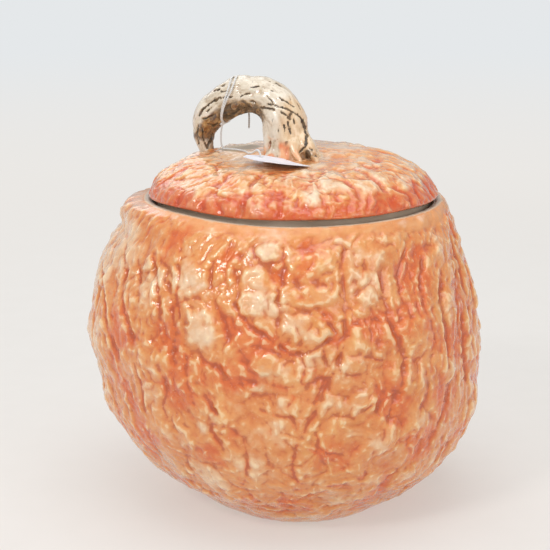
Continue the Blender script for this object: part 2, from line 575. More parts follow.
def make_jar():
    full = 1088 // COARSE
    step = 0.72
    profile, first, last, wall_run = jar_profile(step)
    run = path_run(profile) + 7.0
    row_v = run / (run[-1] + 7.0)
    ring = np.arange(len(profile))
    spacing = np.where(ring > last, 0.6, 0.33) * COARSE * np.where(ring <= last + 30, 1.0, 1.35)
    spacing[first - 2:last + 3] = 0      # full rings on the outer wall
    counts = ring_counts(profile[:, 0], full, spacing, fewest=34)
    row, _, angle, points = lay_rings(profile, counts)
    under, inner = row < first, row > last
    wall = ~(under | inner)
    up_wall = wall_run[np.clip(row - first, 0, len(wall_run) - 1)]
    azim = azimuth(angle)
    ring_radius = profile[row, 0]

    pos, wall_azim = points[wall], azim[wall]
    wall_args = (pos, wall_azim, up_wall[wall], ring_radius[wall])
    relief, furrow, band = jar_relief(*wall_args, wall_run[-1])
    grid = relief.reshape(-1, full)
    scale = 0.72 / step
    grid = 0.7 * grid + 0.3 * blur(grid, 1.2 * scale, 1.2 * scale)
    fine, medium, wide = [cavity(grid, reach * scale, reach * scale, depth)
                          for reach, depth in ((2.4, 0.24), (7.0, 1.25), (20.0, 2.3))]
    tone = jar_tone(*wall_args)
    height = np.zeros(len(points))
    shoulder = bell(wall_azim, -92, 36.0) * bell(pos[:, 2], 178.0, 7.0)
    height[wall] = (grid.reshape(-1) + 0.25 - 1.9 * plateau(pos[:, 2], 60, 90, 160, 178)
                    - 3.5 * shoulder)
    normal = right_of(profile)[row]
    away = outward(angle)
    points = points + away * (normal[:, 0] * height)[:, None]
    points[:, 2] = np.maximum(points[:, 2] + normal[:, 1] * height, 0.0)

    z = points[:, 2]      # a view: it follows every later change
    points[wall, 0] += np.interp(z[wall], *JAR_LEAN)
    points[under, 0] += JAR_LEAN[1][0] * smooth(40, 54, ring_radius[under])
    keel = 5.5 * bell(azim, 6.0, 30.0) * smooth(34, 3, z) * smooth(50, 54, ring_radius) * ~inner
    points += away * keel[:, None]
    points[inner, 0] += np.interp(z[inner], *INNER_LEAN)
    # a low hump of clay on the left shoulder stands nearly as high as the rim
    hump = (bell(wall_azim, -86, 34.0) * plateau(z[wall], 176, 190, 191.0, 193.8)
            * (1 + 0.28 * noise(pos / 10.0, 87)))
    points[wall, :2] += away[wall, :2] * 6.6 * hump[:, None]
    points[wall, 2] += (1.2 + 0.5 * noise(pos / 6.0, 88)) * hump
    # the rim is hand cut: a gentle wave, and higher at the front left
    rim = np.hypot(points[:, 0], points[:, 1]) > 87.2
    wave = 0.5 * np.cos(2 * angle + np.pi) + 0.35 * np.sin(3 * angle + 0.7) - 0.15
    z += smooth(186, 193, z) * rim * wave
    z += smooth(172, 192, z) * rim * 2.3 * bell(azim, -46, 27.0)

    ragged = noise(points / 4.0, 91) * 1.2
    middle = under & (np.hypot(points[:, 0], points[:, 1]) < 52.5)
    lining = np.where(inner, np.clip((row - last + ragged - 1.2) / 1.5, 0, 1), 0.0)
    lining[middle] = 0.85
    bare = np.where(wall, 1 - smooth(0.8, 2.6, up_wall + 0.8 * ragged), under * 1.0)
    bare[middle] = 0.0
    surf = np.full((len(points), 3), 0.5)
    surf[:, 2] = inner
    surf[wall] = np.stack([np.clip(fine - 0.25 * furrow, 0, 1), np.clip(tone, 0, 1), band], 1)
    zone = np.stack([lining, bare, np.full(len(points), 0.5)], 1)
    zone[wall, 2] = wide
    cav = np.full((len(points), 3), 0.5)
    cav[wall, 0] = medium
    cav[wall, 1] = furrow
    attributes = {"surf": np.vstack([surf, [[0.5, 0.5, 0], [0.5, 0.5, 0]]]),
                  "zone": np.vstack([zone, [[0.85, 0, 0.5], [1, 0, 0.5]]]),
                  "cav": np.vstack([cav, [[0.5, 0, 0], [0.5, 0, 0]]])}
    return ring_mesh("jar_shell", points, counts, row_v, attributes, [(0, 0, 2.5), (0, 0, 9.4)])


# -------------------------------------------------------------------- the lid
# (r, z) from the middle of the top to the lower edge, then on underneath
LID_TOP = [
    (3.0, 220.8), (20, 220.8), (34, 220.3), (48, 219.0), (58, 217.6), (66, 215.8), (73, 213.4),
    (79, 210.4), (84, 206.8), (87.8, 202.8), (90.2, 199.4), (91.1, 197.4)]
LID_UNDER = [
    (91.2, 196.4), (90.7, 195.8), (89.4, 195.6), (87.7, 195.8), (86.9, 195.4), (86.5, 194.4),
    (86.4, 190.0), (86.2, 188.7), (85.4, 188.2), (79.6, 188.2), (78.4, 187.7), (77.7, 186.0),
    (76.9, 178.6), (76.4, 177.5), (75.4, 177.1), (74.0, 177.1), (73.0, 177.5), (72.6, 178.6),
    (72.5, 198.0), (71.6, 201.0), (69.0, 204.0), (64.0, 206.9), (56.0, 209.6), (40.0, 212.4),
    (20.0, 213.8), (4.0, 214.3)]
FRONT_FURROWS = [-72, -50, -36, -19, -5, 12, 27, 41, 58, 74]      # azimuths


def round_corners(points, times):
    points = np.array(points)
    for _ in range(times):
        cut = [points[0]]
        for a, b in zip(points[:-1], points[1:]):
            cut += [0.75 * a + 0.25 * b, 0.25 * a + 0.75 * b]
        points = np.array(cut + [points[-1]])
    return points


def furrow_relief(pos, azim, along, radius):
    """Radial furrows over the roll near the lid's edge."""
    rng = np.random.RandomState(5)
    furrows = list(FRONT_FURROWS)
    where = 86.0
    while where < 360 - 80:
        furrows.append(where)
        where += 11 + rng.rand() * 9
    wobble = noise(pos / 9.0, 121) * 2.2 + noise(pos / 3.0, 122) * 0.5
    wedge = (plateau(along, 46, 66, 98, 105)
             * (0.35 + 0.8 * smooth(-0.3, 0.3, noise(pos / 12.0, 120))))
    round_azim = full_circle(azim)
    height = np.zeros(len(pos))
    for where in furrows:
        use = round_azim if where > 80 else azim
        dist = np.abs((use - where) * np.radians(1) * radius + wobble)
        depth = 0.7 + rng.rand() * 0.9
        height -= wedge * depth * channel(dist, 1.5 + rng.rand() * 1.0, 0.45)
    return height


def lid_relief(pos, angle, along, radius):
    """Height in mm over the lid's top, mask of the roll, mask of the smooth pool."""
    x, y = pos[:, 0], pos[:, 1]
    flat = outward(angle) * along[:, None]
    flat[:, 2] = pos[:, 2] * 0.6
    height = crumple(flat, 103, big=16.5, tall=1.0) * 0.98
    height += furrow_relief(pos, azimuth(angle), along, radius)
    roll = smooth(26, 56, along + 6 * noise(pos / 18.0, 123))
    lip = smooth(97, 103, along + 2.0 * noise(pos / 8.0, 124))
    calm = 0.16 + 0.84 * np.clip(roll + 0.3 * smooth(-5, 25, x) * smooth(20, 34, along), 0, 1)
    calm *= 1 - 0.85 * lip
    pool = 1 - smooth(0.78, 1.12, np.hypot((x + 34) / 13.5, (y - 16) / 15.0)
                      + 0.10 * noise(pos / 6.0, 126))
    under_card = 1 - smooth(10, 20, np.hypot((x + 9) * 0.8, y + 38))
    calm *= (1 - 0.95 * pool) * (1 - 0.55 * under_card)
    height = height * calm + 0.8 * fbm(pos / 30.0, 125, 2) * (1 - pool) * (1 - lip)
    # ridges in a collar round the stem
    from_stem = np.hypot(x + 1, y)
    collar = smooth(32, 24, from_stem) * smooth(8, 16, from_stem) * (1 - pool)
    height += collar * (1.0 * (ridged(pos / 7.0, 129, 2) - 0.4))
    return np.clip(height, -2.6, 3.0), roll, pool


def lid_lift(pos, angle, radius):
    """Broad rises of the top: the left falls away sooner, the right keeps its height."""
    left = plateau(radius, 38, 80, 84, 91) * np.clip(-np.sin(angle), 0, 1)
    right = plateau(radius, 30, 62, 80, 91) * np.clip(np.sin(angle), 0, 1)
    back = smooth(-14, 6, pos[:, 1]) * (1 - smooth(46, 78, radius))
    return 0.6 * left + 1.2 * right + 2.8 * back + 0.8 * bell(radius, 72, 14.0)


def lid_colours(pos, angle, along, roll):
    """Tone, 0 red to 1 pale, and mask of the vivid red towards the edge."""
    x, y = pos[:, 0], pos[:, 1]
    tone = 0.56 + 0.58 * fbm(pos / 17.0, 131, 3)
    tone += 0.30 * (1 - smooth(26, 66, along + 9 * noise(pos / 13.0, 133)))
    tone += 0.30 * smooth(15, 40, -x) * (1 - smooth(40, 62, along))
    tone -= 0.25 * bell(azimuth(angle), 62, 16) * bell(along, 40, 12)
    tone += 0.20 * smooth(0, 55, y) + 0.12 * smooth(25, 75, x)
    red = (smooth(78, 97, along + 6 * noise(pos / 9.0, 135)) * 0.95
           + 0.42 * smooth(-0.05, 0.35, noise(pos / 11.0, 137)) * roll)
    return tone, red


def make_lid():
    """The lid, and its top surface as (ring radii, heights by ring and column)."""
    full = 1024 // COARSE
    step = 0.7
    top_path, top_run = walk(round_corners(LID_TOP, 3), step)
    profile = np.concatenate([top_path[:-1], walk([top_path[-1], *LID_UNDER], 0.9)[0]])
    last = len(top_path) - 1
    run = path_run(profile) + 3.0
    row_v = run / (run[-1] + 4.0)
    normal = -right_of(profile)
    spacing = np.where(np.arange(len(profile)) <= last, 0.36, 0.55) * COARSE
    counts = ring_counts(profile[:, 0], full, spacing, fewest=32)

    # the top is worked out on a full grid, then each ring takes its share
    grid_row, _, grid_angle, pos = lay_rings(profile[:last + 1], np.full(last + 1, full))
    radius = profile[grid_row, 0]
    along = top_run[grid_row] + 3.0
    relief, roll, pool = lid_relief(pos, grid_angle, along, radius)
    grid = relief.reshape(-1, full)
    scale = 0.7 / step
    grid = 0.75 * grid + 0.25 * blur(grid, 1.2 * scale, 1.5 * scale)
    fine, medium, wide = [cavity(grid, rows * scale, cols * scale, depth) for rows, cols, depth
                          in ((2.4, 3.2, 0.24), (7.0, 9.0, 1.15), (16.0, 20.0, 2.0))]
    tone, red = lid_colours(pos, grid_angle, along, roll)
    height = grid.reshape(-1) - 0.15
    top_z = pos[:, 2] + normal[grid_row, 1] * height + lid_lift(pos, grid_angle, radius)

    row, column, angle, points = lay_rings(profile, counts)
    top = row <= last
    below = ~top
    ragged = noise(points[below] / 4.0, 139)
    pick = row[top] * full + column[top] * (full // counts[row[top]])
    points[top] += outward(angle[top]) * (normal[row[top], 0] * height[pick])[:, None]
    points[top, 2] = top_z[pick]
    # the lower edge rises in places and waves a little
    ring_radius = profile[row, 0]
    azim = azimuth(angle)
    edge = np.where(top, smooth(78.0, 89.0, ring_radius), smooth(85.5, 88.5, ring_radius))
    points[:, 2] += edge * (3.0 * bell(azim, -44, 27.0) + 0.9 * bell(azim, 2, 22.0)
                            + 2.2 * bell(azim, 50, 22.0))
    points[:, 2] += smooth(88.0, 90.5, ring_radius) * (
        0.40 * np.sin(3 * angle + 1.1) + 0.30 * np.sin(5 * angle + 0.4))

    surf = np.full((len(points), 3), 0.5)
    surf[:, 2] = 0
    surf[below, 0] = 0.4
    surf[top, 0], surf[top, 1] = fine[pick], tone[pick]
    zone = np.zeros((len(points), 3))
    zone[top, 1], zone[top, 2] = red[pick], pool[pick]
    zone[below, 0] = np.clip((row[below] - last + ragged - 4.2) / 1.8, 0, 1)
    zone[below, 1] = 0.95 * (row[below] < last + 8)
    cav = np.full((len(points), 3), 0.5)
    cav[below, 0] = 0.4
    cav[top, 0], cav[top, 1] = medium[pick], wide[pick]
    # each ring runs backwards, so that the faces look outwards
    order = np.cumsum(counts)[row] - 1 - column
    attributes = {"surf": np.vstack([surf[order], [[0.5, 0.8, 0], [0.5, 0.5, 0]]]),
                  "zone": np.vstack([zone[order], [[0, 0, 0], [1, 0, 0]]]),
                  "cav": np.vstack([cav[order], [[0.5, 0.5, 0], [0.5, 0.5, 0]]])}
    attributes = {key: np.clip(values, 0, 1) for key, values in attributes.items()}
    ob = ring_mesh("lid_shell", points[order], counts, row_v, attributes,
                   [(0, 0, 220.5), (0, 0, 214.3)])
    return ob, (profile[:last + 1, 0], top_z.reshape(-1, full))


# ------------------------------------------------------------------- the stem
# x, y, z, radius: up from the lid, over, and down to the left
ARCH = [
    (-1.6, 0.0, 217.0, 19.0), (-2.2, 0.0, 220.5, 17.2), (-3.2, 0.0, 225.0, 15.6),
    (-4.0, 0.0, 231.0, 14.6), (-4.7, 0.0, 237.5, 14.0), (-6.9, 0.6, 246.4, 13.5),
    (-13.2, 3.0, 254.0, 12.7), (-23.3, 7.2, 257.6, 11.8), (-33.5, 11.5, 256.6, 11.6),
    (-43.2, 15.6, 251.5, 11.3), (-52.0, 19.4, 243.3, 10.1), (-57.0, 21.5, 233.8, 8.1),
    (-57.1, 21.6, 226.0, 5.9), (-55.6, 21.0, 220.5, 4.4), (-54.8, 20.7, 217.0, 4.0)]
# x, y, z, radius, from the stem down to the foot of each root
ROOTS = [
    [(-0.6, -7.0, 234, 5.0), (0.4, -12.0, 229.0, 4.4), (2.0, -16.6, 224.8, 3.3),
     (3.4, -20.6, 221.6, 2.4), (4.8, -24.0, 219.6, 1.6)],
    [(4.0, -5.4, 234, 5.6), (7.4, -10.4, 229, 5.0), (10.6, -15.6, 225.0, 4.2),
     (13.4, -20.4, 221.8, 3.1), (15.6, -24.2, 219.2, 1.9)],
    [(3.6, 0.0, 231, 6.6), (7.6, -1.6, 226.5, 6.2), (11.6, -4.4, 222.6, 4.6),
     (15.6, -8.0, 219.8, 3.0), (18.4, -10.6, 217.8, 1.8)],
    [(2.0, 4.4, 228, 5.6), (4.2, 9.0, 223.6, 4.6), (6.6, 13.4, 220.4, 3.2),
     (9.0, 17.4, 218.0, 2.1), (11.0, 20.4, 216.6, 1.4)],
    [(-5.0, 5.4, 232, 5.2), (-6.4, 11.6, 227, 4.4), (-8.0, 17.6, 222.6, 3.3),
     (-10.0, 22.6, 219.6, 2.2), (-11.4, 25.6, 217.6, 1.4)],
    [(-8.0, 2.5, 231, 4.6), (-13.0, 5.2, 226, 4.0), (-17.0, 7.6, 222.0, 3.0),
     (-20.8, 9.8, 219.6, 2.0), (-23.0, 11.4, 217.8, 1.4)],
    [(-7.0, -4.2, 230, 5.0), (-10.8, -8.2, 225.8, 4.0), (-13.6, -11.0, 222.4, 3.0),
     (-16.2, -13.4, 219.8, 1.9), (-17.4, -14.4, 218.2, 1.3)],
]
# cracks on the stem's front: width, and a line of (x, z)
STEM_CRACKS = [
    (0.62, [(-15.5, 254.0), (-9.5, 252.6), (-3.5, 250.6), (2.0, 247.5), (5.6, 243.0),
            (7.8, 238.0), (8.6, 233.0), (7.6, 228.6), (4.6, 225.4)]),
    (0.95, [(5.2, 243.4), (7.6, 238.6), (8.6, 233.4), (7.8, 229.6)]),
    (0.75, [(-7.5, 249.0), (-4.0, 247.2), (-1.8, 245.2)]),
    (0.85, [(-3.6, 243.0), (-2.4, 239.4), (-1.4, 236.0)]),
    (0.6, [(-5.6, 240.6), (-4.8, 237.4)]),
    (0.8, [(-4.2, 230.6), (-3.6, 227.0), (-4.4, 223.6)]),
    (0.45, [(13.6, 246.0), (14.6, 241.0), (15.2, 236.6)]),
    (0.75, [(9.6, 243.4), (11.4, 240.6), (12.0, 237.6)]),
    (0.4, [(10.2, 227.6), (12.4, 226.6)]),
    (0.6, [(-59.5, 243.0), (-56.8, 247.6), (-53.0, 251.8), (-48.6, 254.6), (-43.6, 256.0),
           (-38.6, 256.8)]),
    (0.7, [(-56.8, 241.6), (-53.6, 243.0), (-50.6, 244.6)]),
    (0.8, [(-53.8, 238.6), (-50.8, 236.8), (-47.8, 238.8)]),
    (0.7, [(-60.6, 237.0), (-61.6, 231.0), (-60.6, 225.0)]),
    (0.6, [(-57.4, 234.6), (-57.6, 228.6), (-56.0, 223.6)]),
    (1.0, [(-50.6, 230.6), (-52.6, 226.6), (-55.6, 222.6)]),
    (0.55, [(-47.0, 262.6), (-43.6, 264.0)]),
    (0.5, [(-50.0, 259.4), (-46.6, 260.8)]),
    (0.45, [(-45.6, 259.8), (-42.6, 260.6)]),
    (0.65, [(-33.6, 257.2), (-30.6, 259.0), (-27.0, 259.4)]),
    (0.35, [(-26.6, 263.4), (-21.6, 264.4)]),
    (0.9, [(-20.0, 251.0), (-15.6, 251.6), (-11.6, 250.4)]),
    (0.45, [(-16.0, 258.0), (-13.6, 255.6), (-11.6, 252.6)]),
    (0.45, [(-8.6, 257.6), (-3.6, 254.6), (0.6, 251.6)]),
]


def spline(points, per):
    """Catmull-Rom through rows of numbers, per points to a span."""
    points = np.array(points, dtype=float)
    rows = np.vstack([2 * points[0] - points[1], points, 2 * points[-1] - points[-2]])
    out = []
    for p0, p1, p2, p3 in zip(rows, rows[1:], rows[2:], rows[3:]):
        for k in range(per):
            t = k / per
            out.append(0.5 * (2 * p1 + (p2 - p0) * t + (2 * p0 - 5 * p1 + 4 * p2 - p3) * t * t
                              + (3 * p1 - p0 - 3 * p2 + p3) * t ** 3))
    out.append(rows[-2])
    return np.array(out)


def frames(centres):
    """Tangent, side and up for every point of a path, without twist."""
    tangent = np.gradient(centres, axis=0)
    tangent /= np.linalg.norm(tangent, axis=1)[:, None]
    sides = np.zeros_like(tangent)
    side = np.cross(tangent[0], [0, 1, 0])
    side /= np.linalg.norm(side)
    for i, ahead in enumerate(tangent):
        side = side - ahead * np.dot(side, ahead)
        side /= np.linalg.norm(side)
        sides[i] = side
    return tangent, sides, np.cross(tangent, sides)


def tube(centres, radii, count):
    """Points and faces of a closed tube with a blunt point at either end."""
    tangent, sides, ups = frames(centres)
    cos, sin = np.cos(angles(count))[:, None], np.sin(angles(count))[:, None]
    rings = [centre + radius * (cos * side + sin * up)
             for centre, radius, side, up in zip(centres, radii, sides, ups)]
    tips = [[centres[0] - tangent[0] * radii[0] * 0.5],
            [centres[-1] + tangent[-1] * radii[-1] * 0.5]]
    j = np.arange(count)
    j1 = (j + 1) % count
    end = len(centres) * count
    quads = np.concatenate([np.stack([k + j, k + j1, k + count + j1, k + count + j], 1)
                            for k in range(0, end - count, count)])
    start_fan = np.stack([j1, j, np.full(count, end)], 1)
    end_fan = np.stack([end - count + j, end - count + j1, np.full(count, end + 1)], 1)
    return np.concatenate(rings + tips), [quads, start_fan, end_fan]


def join_parts(name, parts):
    points, groups, offset = [], [], 0
    for part_points, faces in parts:
        points.append(part_points)
        groups += [group + offset for group in faces]
        offset += len(part_points)
    return build_mesh(name, np.concatenate(points) * MM, groups)


def fuse(ob):
    """Weld an object's parts into one smooth skin."""
    remesh = ob.modifiers.new("weld", "REMESH")
    remesh.mode = "VOXEL"
    remesh.voxel_size = 0.00062
    remesh.use_smooth_shade = True
    ease = ob.modifiers.new("ease", "SMOOTH")
    ease.factor = 0.5
    ease.iterations = 7
    depsgraph = bpy.context.evaluated_depsgraph_get()
    mesh = bpy.data.meshes.new_from_object(ob.evaluated_get(depsgraph))
    old = ob.data
    ob.modifiers.clear()
    ob.data = mesh
    bpy.data.meshes.remove(old)


def read_vectors(vertices, key):
    values = np.zeros(len(vertices) * 3, dtype=np.float32)
    vertices.foreach_get(key, values)
    return values.reshape(-1, 3).astype(float)


def grain_space(pos, centres):
    """Coordinates that run long along the arch and fine round it."""
    best = np.full(len(pos), 1e9)
    near = np.zeros(len(pos), dtype=int)
    for k, centre in enumerate(centres):
        dist = np.sum((pos - centre) ** 2, 1)
        closer = dist < best
        best[closer] = dist[closer]
        near[closer] = k
    tangent, side, up = [axis[near] for axis in frames(centres)]
    away = pos - centres[near]
    along = path_run(centres)[near] + np.sum(away * tangent, 1)
    around = np.arctan2(np.sum(away * up, 1), np.sum(away * side, 1))
    grain = np.stack([np.cos(around) * 11.5, np.sin(around) * 11.5, along * 0.30], 1)
    return grain + 1.8 * wander(pos / 9.0, 201, (0, 4, 8))


def stem_pits(pos, normal, grain_pos):
    """Mask of pits and cracks, and of the worn rings round the slits."""
    # short slits along the grain, in loose drifts
    first, _, value = cell_noise(grain_pos * np.array([1, 1, 0.55]) / 3.6, 211, 1.0)
    patch = smooth(0.00, 0.28, noise(pos / 9.0, 213) + 0.20 * noise(pos / 3.0, 215))
    ragged = 0.20 * noise(pos / 1.7, 216) + 0.10 * noise(pos / 0.9, 217)
    slit = (1 - smooth(0.15, 0.31, first + ragged)) * (value > 0.42) * patch
    halo = np.clip(bell(first, 0.2, 0.35) * patch * (value > 0.5), 0, 1)
    first, _, value = cell_noise(grain_pos / 1.9 + 7.0, 218, 1.0)
    dots = ((1 - smooth(0.16, 0.30, first + ragged)) * (value > 0.72)
            * smooth(-0.05, 0.25, noise(pos / 6.0, 219)))
    cracks = np.zeros(len(pos))
    front = smooth(0.05, 0.4, -normal[:, 1])
    x = pos[:, 0] + 0.8 * noise(pos / 3.0, 221) + 0.35 * noise(pos / 1.2, 223)
    z = pos[:, 2] + 0.8 * noise(pos / 3.0 + 6, 222) + 0.35 * noise(pos / 1.2 + 3, 224)
    gaps = smooth(-0.28, 0.10, noise(pos / 2.4, 226) + 0.4 * noise(pos / 1.1, 228))
    for width, line in STEM_CRACKS:
        dist = line_distance(x, z, line) + ragged * 1.6
        cracks = np.maximum(cracks, front * (1 - smooth(width * 0.55, width * 1.25, dist))
                            * (0.58 + 0.42 * gaps))
    return np.clip(np.maximum(np.maximum(slit, dots * 0.85), cracks), 0, 1), halo


def make_stem():
    arch = spline(ARCH, 12)
    parts = [tube(arch[:, :3], arch[:, 3], 72)]
    for root in ROOTS:
        path = spline(root, 8)
        parts.append(tube(path[:, :3], path[:, 3], 24))
    ob = join_parts("stem_arch", parts)
    fuse(ob)
    mesh = ob.data
    pos = read_vectors(mesh.vertices, "co") / MM
    normal = read_vectors(mesh.vertices, "normal")
    x, y, z = pos.T
    grain_pos = grain_space(pos, arch[:, :3])
    grain = ridged(grain_pos / 5.2, 205, 2)
    fine = ridged(grain_pos / 2.3 + 3, 207, 2)
    lump = fbm(pos / 15.0, 209, 2)
    pit, halo = stem_pits(pos, normal, grain_pos)
    # the arch's underside is rough and stained brown
    below = smooth(-0.02, 0.50, -normal[:, 2] + 0.12 * noise(pos / 4.0, 230)) * smooth(224, 232, z)
    leg = smooth(250, 236, z) * smooth(-46, -51, x)
    scar = (bell(x, 11.5, 3.2) * bell(z, 240.0, 8.5)
            * smooth(0.30, 0.05, np.abs(noise(pos / 3.2, 234))))
    stain = np.clip(below + 0.75 * scar + leg * (0.27 + 0.43 * smooth(-57, -51, x)), 0, 1)
    rough = 0.45 + 0.9 * stain
    height = (0.75 * (grain - 0.5) * rough + 0.30 * (fine - 0.5) * rough + 1.5 * lump
              - 0.75 * pit - 0.15 * halo)
    height *= smooth(216.5, 219.5, z)
    moved = (pos + normal * height[:, None]) * MM
    mesh.vertices.foreach_set("co", moved.astype(np.float32).reshape(-1))
    mesh.update()

    tone = 0.60 + 0.30 * (grain - 0.45) + 0.16 * (fine - 0.45) + 0.25 * lump - 0.25 * halo
    orange = (smooth(236, 222, z + 4.5 * noise(pos / 6.0, 225)) * smooth(-28, -20, x)
              * (0.18 + 0.82 * smooth(7, -3, x))
              * (0.25 + 0.75 * smooth(-0.2, 0.3, noise(pos / 7.0, 227))))
    soot = (below * smooth(-52, -44, x) * smooth(238, 243, z)
            * smooth(-0.45, 0.05, noise(pos / 3.4, 235)))
    # the cleft between the two front roots is dark
    cleft = bell(x, 8.8, 2.3) * smooth(-12, -17, y) * smooth(229, 225, z)
    pit = np.clip(np.maximum(np.maximum(pit, 0.76 * soot), 0.85 * cleft), 0, 1)
    streak = (smooth(0.42, 0.20, fine + 0.10 * noise(pos / 2.0, 232))
              * smooth(-0.10, 0.25, noise(pos / 8.0, 233)) * (0.35 + 0.65 * smooth(4, -18, x)))
    add_attribute(mesh, "surf",
                  np.stack([np.clip(tone, 0, 1), np.clip(streak, 0, 1), pit], 1))
    warm = smooth(-18, 0, x) * smooth(268, 250, z)
    add_attribute(mesh, "zone", np.stack([stain, np.clip(orange, 0, 1), warm], 1))
    mesh.polygons.foreach_set("use_smooth", np.ones(len(mesh.polygons), dtype=bool))
    return ob


# ----------------------------------------------------------------- the string
# Strands laid on the stem, as (phase of the twist, rough path): two over the top
# and down the front face, two back up behind.
STRANDS = [
    (0.0, [(-37.5, 16.0, 268.0), (-38.5, 8.0, 267.2), (-40.4, 2.5, 262.0), (-42.6, 1.6, 256.0),
           (-44.6, 2.6, 249.5), (-45.4, 6.5, 243.0), (-45.0, 12.0, 240.0)]),
    (1.0, [(-34.2, 15.0, 268.6), (-35.4, 7.0, 267.6), (-38.2, 1.0, 261.5), (-41.4, 1.0, 255.5),
           (-44.0, 2.8, 248.5), (-45.0, 7.0, 242.6), (-44.6, 12.2, 239.8)]),
    (2.0, [(-44.6, 12.2, 239.8), (-42.0, 21.0, 241.5), (-38.5, 27.0, 248.0),
           (-36.5, 28.0, 256.0), (-36.0, 22.5, 264.5), (-37.5, 16.0, 268.0)]),
    (2.6, [(-45.0, 12.0, 240.0), (-40.8, 22.0, 241.8), (-36.6, 27.5, 248.6),
           (-34.6, 27.5, 256.6), (-33.8, 21.5, 265.2), (-34.2, 15.0, 268.6)]),
]
KNOT_AT = np.array([-45.0, 11.2, 238.6])
# from the knot down to the lid, along it and through the ticket's hole
TO_TICKET = [
    (-45.0, 11.2, 238.0), (-45.8, 11.6, 232.0), (-45.8, 12.0, 227.0), (-44.9, 11.4, 223.4),
    (-41.8, 8.4, 222.0), (-37.0, 4.0, 221.7), (-31.5, 0.0, 221.9), (-27.4, -6.4, 222.6),
    (-24.9, -12.2, 224.0), (-23.0, -17.6, 226.2), (-21.3, -22.0, 226.8), (-20.1, -24.0, 225.0),
    (-20.1, -24.2, 222.9), (-21.6, -21.9, 221.9)]
LOOSE_END = [
    (-44.6, 12.8, 239.4), (-40.0, 21.0, 240.0), (-34.5, 26.8, 243.6), (-29.8, 25.2, 246.4),
    (-28.4, 24.6, 243.5), (-28.2, 24.5, 239.0), (-28.4, 24.6, 233.6)]


def on_lid(points, gap, lid_top):
    """Raise the points of a path that would sink into the top of the lid."""
    radii, heights = lid_top
    rows, columns = heights.shape
    angle = np.arctan2(points[:, 0], -points[:, 1]) % (2 * np.pi)
    row = np.searchsorted(radii, np.hypot(points[:, 0], points[:, 1]))
    row = np.clip(row, 0, rows - 1)
    column = np.round(angle / (2 * np.pi) * columns).astype(int) % columns
    lowest = np.max([heights[np.clip(row + i, 0, rows - 1), (column + j) % columns]
                     for i in (-1, 0, 1) for j in (-1, 0, 1)], axis=0) + gap
    lift = np.maximum(lowest - points[:, 2], 0)
    kernel = np.hanning(9) / np.hanning(9).sum()
    eased = np.convolve(np.pad(lift, 4, mode="edge"), kernel, mode="valid")
    points[:, 2] += np.maximum(lift, eased)
    return points


def snug(points, arch, gap=0.95):
    """Pull a rough path onto the stem's surface."""
    out = []
    for point in np.array(points):
        k = int(np.argmin(np.sum((arch[:, :3] - point) ** 2, 1)))
        away = point - arch[k, :3]
        out.append(arch[k, :3] + away / np.linalg.norm(away) * (arch[k, 3] + gap))
    return np.array(out)


def twisted(path, phase, radius=0.62, pitch=2.6, plies=2, step=0.28):
    """A twisted cord: plies wound round the path, each a closed tube."""
    run = path_run(path)
    count = max(int(run[-1] / step), 8)
    along = np.linspace(0, run[-1], count)
    centres = np.stack([np.interp(along, run, path[:, k]) for k in range(3)], 1)
    _, side, up = frames(centres)
    fade = np.clip(np.minimum(along, run[-1] - along) / 0.5, 0.35, 1)
    parts = []
    for ply in range(plies):
        turn = phase + 2 * np.pi * (along / pitch + ply / plies)
        offset = radius * 0.5 * (np.cos(turn)[:, None] * side + np.sin(turn)[:, None] * up)
        parts.append(tube(centres + offset, np.full(count, radius * 0.56) * fade, 8))
    return parts


def make_string(lid_top):
    arch = spline(ARCH, 12)
    parts = []
    for phase, path in STRANDS:
        parts += twisted(spline(snug(path, arch), 10), phase)
    turn = np.linspace(0, 4 * np.pi, 60)
    knot = KNOT_AT + np.stack([0.95 * np.cos(turn), 0.95 * np.sin(turn),
                               0.55 * np.sin(1.5 * turn)], 1)
    parts += twisted(knot, phase=0.4, radius=0.5, pitch=2.4)
    parts += twisted(on_lid(spline(TO_TICKET, 10), 0.75, lid_top), phase=0.7)
    parts += twisted(spline(LOOSE_END, 10), phase=1.9)
    return join_parts("cotton_string", parts)


# ----------------------------------------------------------------- the ticket
CARD_AT = np.array([-22.5, -20.5, 223.4])      # middle of the clipped end
CARD_LONG = np.array([0.5648, -0.8241, -0.0437])
CARD_SIDE = np.array([0.8236, 0.5662, -0.0327])
CARD_UP = np.array([0.0516, -0.0175, 0.9985])
CARD_LENGTH, CARD_WIDTH, CARD_CLIP, CARD_THICK = 37.0, 30.0, 8.0, 0.42
HOLE_X, HOLE_RADIUS = 4.5, 1.6


def card_outline(turn):
    """Where rays from the hole's centre meet the card's edge."""
    half = CARD_WIDTH / 2
    corners = [(0, half - CARD_CLIP), (CARD_CLIP, half), (CARD_LENGTH, half),
               (CARD_LENGTH, -half), (CARD_CLIP, -half), (0, -(half - CARD_CLIP))]
    outline = np.zeros((len(turn), 2))
    for i, angle in enumerate(turn):
        dx, dy = math.cos(angle), math.sin(angle)
        best = 1e9
        for (ax, ay), (bx, by) in zip(corners, corners[1:] + corners[:1]):
            ex, ey = bx - ax, by - ay
            det = dx * ey - dy * ex
            if abs(det) < 1e-9:
                continue
            reach = ((ax - HOLE_X) * ey - ay * ex) / det
            along = ((ax - HOLE_X) * dy - ay * dx) / det
            if reach > 0 and -1e-9 <= along <= 1 + 1e-9:
                best = min(best, reach)
        outline[i] = (HOLE_X + dx * best, dy * best)
    # the nearest points go exactly onto the corners
    for corner in corners:
        k = int(np.argmin(np.hypot(outline[:, 0] - corner[0], outline[:, 1] - corner[1])))
        outline[k] = corner
    return outline


